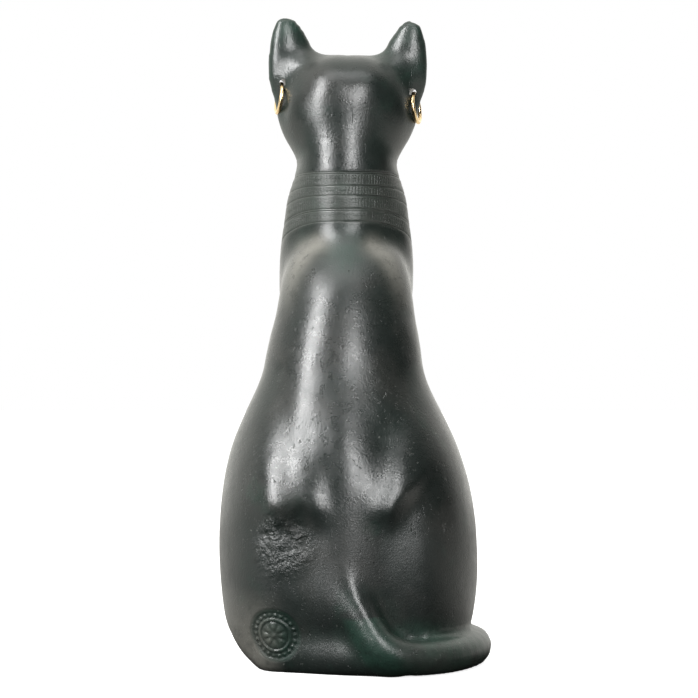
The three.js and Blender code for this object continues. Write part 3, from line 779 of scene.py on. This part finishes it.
def in_carving(x, y, z):
    return in_relief(x, y, z) | in_head(x, y, z) | in_paws(x, y, z)


def in_finest(x, y, z):
    return in_relief(x, y, z) | ((y < -10) & (z > 80) & (z < 90))


refine(cat, in_carving)
refine(cat, in_finest)

# The thin rims of the ears are eased by hand.
points = points_of(cat) / U
on_ears = (points[:, 2] > 88.6) & (np.abs(points[:, 0]) > 5)
choose(cat, "VERT", cat.data.vertices, on_ears)
for rounds in (3, 0):
    bpy.ops.object.mode_set(mode="EDIT")
    bpy.ops.mesh.vertices_smooth(factor=0.5, repeat=3)
    bpy.ops.object.mode_set(mode="OBJECT")
    points = points_of(cat) / U
    points[on_ears] = settle(points[on_ears], rounds)
    set_points(cat, points * U)


# The mould was smoothed by hand, so the surface is never quite even.
def waver(points, millimetres, seed):
    places = points * (U * 1000 / millimetres) + seed
    return np.array([noise.noise(place) for place in places])


# Small knocks on the back and haunches: place from the camera's side, radius and depth.
KNOCKS = [
    (10.4, 45.1, 0.55, 0.13),
    (12.0, 33.0, 0.4, 0.08),
    (-6.1, 41.5, 0.35, 0.07),
    (6.4, 36.2, 0.4, 0.08),
]

points = points_of(cat) / U
x, y, z = points.T
way_out = outward(points)
relief = np.zeros(len(points))
collar = in_collar(x, y, z)
relief[collar] = collar_relief(x[collar], y[collar], z[collar])[0]
seal = in_seal(x, y, z)
relief[seal] += seal_relief(x[seal], y[seal], z[seal])
face = (z > 79) & (y < -6)
relief[face] += cut_lines(points[face], eye_lines, width=0.22, depth=0.16)
relief[face] += cut_lines(points[face], face_lines, width=0.15, depth=0.07)
relief[face] += cut_lines(points[face], ear_lines, width=0.2, depth=0.13)
toes = in_paws(x, y, z)
relief[toes] += cut_lines(points[toes], toe_lines, width=0.2, depth=0.22)
for side_x, up, radius, depth in KNOCKS:
    relief -= depth * bell(np.hypot(x - side_x, z - up) / radius) * (y > 0)
fine_waver = 0.028 * waver(points, millimetres=9, seed=3.1)
broad_waver = 0.05 * waver(points, millimetres=24, seed=7.7)
relief += fine_waver + broad_waver

# The relief fades out at the ground, and is faint on the thin tips and backs of the ears.
thin_ears = (z > 91) & (y > -5.5)
relief *= clamp01(z / 1.2) * np.where(thin_ears, 0.3, 1.0)
set_points(cat, (points + relief[:, None] * way_out) * U)

# Each ear is bored through, with room for the hoop that hangs in it.
HOOP_DIAMETER = 0.017
WIRE_DIAMETER = 0.0021
HOOP_RADIUS = (HOOP_DIAMETER - WIRE_DIAMETER) / 2
WIRE_RADIUS = WIRE_DIAMETER / 2
HOOP_ROOM = 0.00035
HOOP_LEAN = math.radians(8)
HOLE_RADIUS = 0.00185
BORE_LENGTH = 0.015
BORE_RISE = 0.0005
hoop_places = []
for name, side, hole in HOLES:
    ahead = Vector((side * math.sin(HOOP_YAW), -math.cos(HOOP_YAW), 0))
    across = Vector((side * math.cos(HOOP_YAW), math.sin(HOOP_YAW), 0))
    up = Vector((0, 0, math.cos(HOOP_LEAN))) - across * math.sin(HOOP_LEAN)
    place = Matrix((ahead, up, ahead.cross(up))).transposed().to_4x4()
    place.translation = Vector(hole) * U - up * HOOP_RADIUS
    hoop_places.append((name, place))
    bpy.ops.object.select_all(action="DESELECT")
    bpy.ops.mesh.primitive_cylinder_add(vertices=32, radius=HOLE_RADIUS, depth=BORE_LENGTH)
    bore = bpy.context.object
    to_hole = Matrix.Translation((0, HOOP_RADIUS + BORE_RISE, 0))
    bore.matrix_world = place @ to_hole @ Matrix.Rotation(math.pi / 2, 4, "Y")
    bpy.ops.mesh.primitive_torus_add(
        major_segments=48,
        minor_segments=14,
        major_radius=HOOP_RADIUS,
        minor_radius=WIRE_RADIUS + HOOP_ROOM,
    )
    room = bpy.context.object
    room.matrix_world = place
    for tool in (bore, room):
        pick(cat)
        cut = cat.modifiers.new("cut", "BOOLEAN")
        cut.operation = "DIFFERENCE"
        cut.solver = "EXACT"
        cut.object = tool
        bpy.ops.object.modifier_apply(modifier="cut")
        bpy.data.objects.remove(tool)

# What the patina follows: hollows and the places where it stayed green, the worn or rough
# places, the grooves that hold it, and the collar's rows for its strokes.
HOLLOW_REACH = 2.4
points = points_of(cat) / U
x, y, z = points.T
way_out = outward(points)
on_back = y > 0
hollow = clamp01((HOLLOW_REACH - figure(points + HOLLOW_REACH * way_out)) / 1.3)
tail_near = clamp01(1.4 - tail_shape(x, y, z) / 1.2) * (z < 9)
withers = bell(np.hypot(x - 0.6, (z - 63) / 1.3) / 3.2) * on_back
lower = clamp01((26 - z) / 6)
seal_mask = clamp01((1.05 - seal_place(x, y, z)[0]) / 0.1)
ear_tip = clamp01((z - 93) / 5)
row = collar_row(x, y, z)
on_neck = np.hypot(x, y - COLLAR_AXIS_Y) < COLLAR_REACH
belt = clamp01((row + 0.25) / 0.2) * clamp01((4.3 - row) / 0.3) * on_neck
green = np.maximum.reduce(
    [0.75 * hollow, 0.9 * tail_near, 0.8 * withers, seal_mask, 0.7 * ear_tip, 0.3 * belt]
)
crest = bell(from_ridge(x, z) / 1.6) * clamp01((17 - z) / 3) * on_back
rough = np.maximum.reduce(
    [0.7 * hollow, 0.9 * withers, 0.5 * belt, 0.65 * lower * (1 - crest), 0.4 * tail_near]
)

# The collar is rubbed a little pale. The corners of the shoulders are paler too: worn in part, and
# a painted highlight of the light from above. The low outer edges of the haunches get a painted
# reflection of the bright surround, the left edge far more than the right.
CORNERS_WORN_AND_LIT = [
    [(4.6, 64.4), (6.6, 63.2), (8.6, 59.5), (9.8, 55.0)],
    [(-3.6, 64.0), (-5.8, 62.4), (-7.6, 58.5), (-8.6, 55.0)],
]
wear_and_painted_sheen = 0.12 * belt
seen_flat = np.stack([x, np.zeros_like(x), z], axis=1)
# Painted highlight on the corners of the shoulders, partly wear as well.
for run in CORNERS_WORN_AND_LIT:
    corner = [np.array([across, 0, up]) for across, up in run]
    corner_wear_and_highlight = -cut_lines(seen_flat, [corner], width=1.5, depth=1.0)
    wear_and_painted_sheen = np.maximum(wear_and_painted_sheen, corner_wear_and_highlight * on_back * clamp01((z - 53) / 9))
# Painted reflection of the bright surround on the low outer edges, far stronger on the left.
outer_edge = clamp01((np.abs(x) - 9.5) / 4) * (y > -4)
wear_and_painted_sheen = np.maximum(wear_and_painted_sheen, 0.8 * clamp01((13 - z) / 8) * outer_edge * (x > 0))
wear_and_painted_sheen = np.maximum(wear_and_painted_sheen, 0.1 * clamp01((12 - z) / 9) * outer_edge * (x < 0))
groove = np.zeros(len(points))
_, offset, double = collar_relief(x, y, z)
stamped = seal_mask > 0
groove[stamped] = clamp01(-seal_relief(x[stamped], y[stamped], z[stamped]) / 0.2)
layers = {
    "green": green,
    "rough": rough,
    "groove": groove,
    "row": np.clip(row, -2, 6),
    "belt": belt,
    "line": offset,
    "double": double,
    "wear_and_painted_sheen": wear_and_painted_sheen,
}
for name, values in layers.items():
    layer = cat.data.attributes.new(name, "FLOAT", "POINT")
    layer.data.foreach_set("value", values.astype(np.float32))
SMOOTH_UNDER = math.radians(50)
pick(cat)
bpy.ops.object.shade_smooth_by_angle(angle=SMOOTH_UNDER)

# The patina's nodes. Sizes in `cloud` are in millimetres.
patina = bpy.data.materials.new("patina_resin")
patina.use_nodes = True
tree = patina.node_tree
shader = tree.nodes["Principled BSDF"]
where = add("ShaderNodeTexCoord")
axes = add("ShaderNodeSeparateXYZ")
link(where.outputs["Object"], axes.inputs[0])


def cloud(millimetres, detail, harsh=0.5):
    made = add("ShaderNodeTexNoise")
    made.inputs["Scale"].default_value = 1000 / millimetres
    made.inputs["Detail"].default_value = detail
    made.inputs["Roughness"].default_value = harsh
    link(where.outputs["Object"], made.inputs["Vector"])
    return made.outputs["Fac"]


def tint(low, high, source):
    made = add("ShaderNodeMix", data_type="RGBA")
    for socket, colour in ((made.inputs[6], low), (made.inputs[7], high)):
        if isinstance(colour, tuple):
            socket.default_value = (*colour, 1)
        else:
            link(colour, socket)
    link(source, made.inputs[0])
    return made.outputs[2]


# Colour: near-black green-grey, greener in the hollows, a little warmer and paler where worn and
# where highlights and reflections are painted in, with pale specks that are partly painted glints.
NEAR_BLACK = (0.0072, 0.0098, 0.0088)
GREEN = (0.0095, 0.026, 0.0185)
WORN_GREY = (0.019, 0.0195, 0.0178)
CHIP_AND_GLINT_GREY = (0.10, 0.108, 0.098)
WORN_AND_SHEEN_GREY = (0.11, 0.108, 0.095)
GROOVE_GREEN = (0.0045, 0.0095, 0.0075)
blotch = cloud(26, 4, 0.6)
fine_blotch = cloud(5, 5, 0.65)
greened = calculate("MULTIPLY", "green", ramp(fine_blotch, 0.25, 0.62, 0.45, 1.0))
greened = calculate("ADD", greened, ramp(blotch, 0.56, 0.75, 0.0, 0.45))
colour = tint(NEAR_BLACK, GREEN, greened)
colour = tint(colour, WORN_GREY, ramp(cloud(34, 4), 0.48, 0.7, 0.0, 0.6))
# Pale specks, most of them low on the body: chips in the patina, and painted glints of the lamps.
speckled = ramp(cloud(21, 3), 0.48, 0.62)
chips_and_glints = calculate("MULTIPLY", ramp(cloud(1.3, 2, 0.6), 0.66, 0.72), speckled)
chips_and_glints = calculate("MULTIPLY", chips_and_glints, ramp(axes.outputs["Z"], 0.19, 0.12, 0.2, 0.7))
colour = tint(colour, CHIP_AND_GLINT_GREY, chips_and_glints)
# Tinted warm pale grey where worn, and where highlights and reflections are painted.
worn_and_sheened = calculate("MULTIPLY", "wear_and_painted_sheen", ramp(fine_blotch, 0.2, 0.6, 0.5, 1.0))
colour = tint(colour, WORN_AND_SHEEN_GREY, worn_and_sheened)
colour = tint(colour, GROOVE_GREEN, calculate("MULTIPLY", "groove", 0.7))
link(colour, shader.inputs["Base Color"])

# Roughness: satin, duller in the collar, at the withers and low down, with fine mottling. The
# broken patch over the stamp is glossier.
SATIN = 0.27
DULL_RISE = 0.21
PATCH_GLOSS = 0.13
PATCH_MIDDLE = (0.0335, 0.072, 0.064)
PATCH_CORE = 0.008
PATCH_EDGE = 0.021
dull = calculate("MULTIPLY_ADD", "rough", DULL_RISE, SATIN)
dull = calculate("ADD", dull, ramp(fine_blotch, 0.3, 0.7, -0.02, 0.04))
patch_off = add("ShaderNodeVectorMath", operation="DISTANCE")
patch_off.inputs[1].default_value = PATCH_MIDDLE
link(where.outputs["Object"], patch_off.inputs[0])
patch = ramp(patch_off.outputs["Value"], PATCH_CORE, PATCH_EDGE, 1.0, 0.0)
patch = calculate("MULTIPLY", patch, ramp(cloud(12, 4), 0.32, 0.55))
dull = calculate("MULTIPLY_ADD", patch, -PATCH_GLOSS, dull)
link(dull, shader.inputs["Roughness"])

# Relief too fine for faces, in millimetres: sanded grain, pits of the casting and the broken
# patch over the stamp.
GRAIN = 0.105
COARSE_GRAIN = 0.04
PIT_SPACING = 3.4
PIT_DEPTH = 0.007
LUMP_HEIGHT = 1.35
height = calculate("MULTIPLY", cloud(1.0, 2, 0.6), GRAIN)
height = calculate("MULTIPLY_ADD", cloud(3.6, 2), COARSE_GRAIN, height)
cells = add("ShaderNodeTexVoronoi")
cells.inputs["Scale"].default_value = 1000 / PIT_SPACING
link(where.outputs["Object"], cells.inputs["Vector"])
pitted = ramp(cells.outputs["Distance"], 0.0, 0.3, -PIT_DEPTH, 0.0)
pitted = calculate("MULTIPLY", pitted, ramp(cloud(13, 2), 0.5, 0.62))
height = calculate("ADD", height, pitted)
lumps = calculate("MULTIPLY", patch, cloud(3.4, 4, 0.7))
height = calculate("MULTIPLY_ADD", lumps, LUMP_HEIGHT, height)

# The collar's lines are sharpened, and between them run the rows of short upright strokes. Both
# are worn to the left of the middle.
STROKES = 108
STROKE_DEPTH = 0.4
LINE_SHARPENING = 0.55
COLLAR_MIDDLE_Z = 71
line = calculate("MULTIPLY_ADD", "double", -0.15, calculate("ABSOLUTE", "line"))
line = ramp(calculate("ABSOLUTE", line), 0.02, 0.13, 1.0, 0.0)
line = calculate("MULTIPLY", line, "belt")
aside = calculate("SUBTRACT", axes.outputs["X"], sway(COLLAR_MIDDLE_Z) * U)
behind = calculate("ADD", axes.outputs["Y"], -COLLAR_AXIS_Y * U)
angle = calculate("ARCTAN2", aside, behind)
stroke = calculate("SINE", calculate("MULTIPLY", angle, STROKES))
stroke = ramp(stroke, 0.25, 0.85)
in_row = calculate("ABSOLUTE", calculate("SUBTRACT", calculate("FRACT", "row"), 0.5))
stroke = calculate("MULTIPLY", stroke, ramp(in_row, 0.24, 0.34, 1.0, 0.0))
kept = ramp(cloud(22, 3), 0.40, 0.56)
kept = calculate("MULTIPLY", kept, ramp(axes.outputs["X"], -0.002, 0.008, 1.0, 0.2))
stroke = calculate("MULTIPLY", stroke, calculate("MULTIPLY", kept, "belt"))
height = calculate("MULTIPLY_ADD", stroke, -STROKE_DEPTH, height)
line = calculate("MULTIPLY", line, ramp(kept, 0.0, 0.8, 0.15, 1.0))
height = calculate("MULTIPLY_ADD", line, -LINE_SHARPENING, height)

# Hairline scratches, upright all over and slanting low on the back, and faint wrinkles in the
# paint.
SCRATCH_DEPTH = 0.2
WRINKLE_DEPTH = 0.009
everywhere = 1.0
lower_back = ramp(axes.outputs["Z"], 0.17, 0.11)
SCRATCHES = (
    ((0, 0, 0), (1.1, 1.1, 17), everywhere),
    ((0.2, 1.2, 0.3), (0.9, 0.9, 7), lower_back),
)
for turn, millimetres, mask in SCRATCHES:
    stretch = add("ShaderNodeMapping", vector_type="TEXTURE")
    stretch.inputs["Rotation"].default_value = turn
    stretch.inputs["Scale"].default_value = [length / 1000 for length in millimetres]
    link(where.outputs["Object"], stretch.inputs["Vector"])
    streak = add("ShaderNodeTexNoise")
    streak.inputs["Scale"].default_value = 1.0
    streak.inputs["Detail"].default_value = 2
    link(stretch.outputs["Vector"], streak.inputs["Vector"])
    scratch = ramp(streak.outputs["Fac"], 0.66, 0.76)
    scratch = calculate("MULTIPLY", scratch, ramp(cloud(16, 2), 0.47, 0.6))
    scratch = calculate("MULTIPLY", scratch, mask)
    height = calculate("MULTIPLY_ADD", scratch, -SCRATCH_DEPTH, height)
wrinkle = calculate("ABSOLUTE", calculate("SUBTRACT", cloud(2.7, 4, 0.6), 0.5))
wrinkled = ramp(cloud(30, 2), 0.42, 0.6, 0.15, 1.0)
wrinkle = calculate("MULTIPLY", ramp(wrinkle, 0.0, 0.035, 1.0, 0.0), wrinkled)
height = calculate("MULTIPLY_ADD", wrinkle, -WRINKLE_DEPTH, height)
bump = add("ShaderNodeBump")
bump.inputs["Distance"].default_value = 0.001
link(height, bump.inputs["Height"])
link(bump.outputs["Normal"], shader.inputs["Normal"])
cat.data.materials.clear()
cat.data.materials.append(patina)
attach(cat, "root")
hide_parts("cat_figure")

# The hoops: gold-coloured wire, one through each ear. Each is bent by hand, so it isn't quite
# round or flat, and its cut ends nearly meet inside the ear's hole.
BRIGHT_GOLD = (0.83, 0.63, 0.35)
SCUFFED_GOLD = (0.60, 0.43, 0.24)
SCUFF_SIZE = 10 / 7
gold = bpy.data.materials.new("gold_wire")
gold.use_nodes = True
tree = gold.node_tree
shader = tree.nodes["Principled BSDF"]
shader.inputs["Metallic"].default_value = 1.0
where = add("ShaderNodeTexCoord")
scuffed = ramp(cloud(SCUFF_SIZE, 3), 0.35, 0.7, 0.14, 0.38, "LINEAR")
link(scuffed, shader.inputs["Roughness"])
link(tint(BRIGHT_GOLD, SCUFFED_GOLD, scuffed), shader.inputs["Base Color"])

HOOP_GAP = 7  # degrees
OUT_OF_ROUND = 0.012
OUT_OF_FLAT = 0.00022
END_EASE = 0.0003
for name, place in hoop_places:
    bpy.ops.object.select_all(action="DESELECT")
    bpy.ops.mesh.primitive_circle_add(
        vertices=20,
        radius=WIRE_RADIUS,
        location=(0, HOOP_RADIUS, 0),
        rotation=(0, math.pi / 2, 0),
    )
    bpy.ops.object.transform_apply(location=True, rotation=True)
    hoop = bpy.context.object
    hoop.name = name + "_wire"
    bpy.ops.object.mode_set(mode="EDIT")
    bpy.ops.mesh.select_all(action="SELECT")
    swept = math.radians(360 - HOOP_GAP)
    bpy.ops.mesh.spin(steps=72, angle=swept, center=(0, 0, 0), axis=(0, 0, 1))
    bpy.ops.mesh.select_all(action="SELECT")
    bpy.ops.mesh.fill_holes(sides=0)
    bpy.ops.mesh.normals_make_consistent(inside=False)
    bpy.ops.object.mode_set(mode="OBJECT")
    ring = points_of(hoop)
    angle = np.arctan2(ring[:, 0], ring[:, 1])
    ring[:, :2] *= (1 + OUT_OF_ROUND * np.sin(2 * angle + 0.6))[:, None]
    ring[:, 2] += OUT_OF_FLAT * np.sin(angle)
    set_points(hoop, ring)
    rounded = hoop.modifiers.new("rounded_ends", "BEVEL")
    rounded.width = END_EASE
    rounded.segments = 2
    rounded.limit_method = "ANGLE"
    rounded.angle_limit = math.radians(60)
    bpy.ops.object.modifier_apply(modifier="rounded_ends")
    hoop.data.transform(place)
    hoop.data.update()
    bpy.ops.object.shade_smooth_by_angle(angle=SMOOTH_UNDER)
    hoop.data.materials.append(gold)
    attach(hoop, "root")
    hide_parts(name + "_earring")
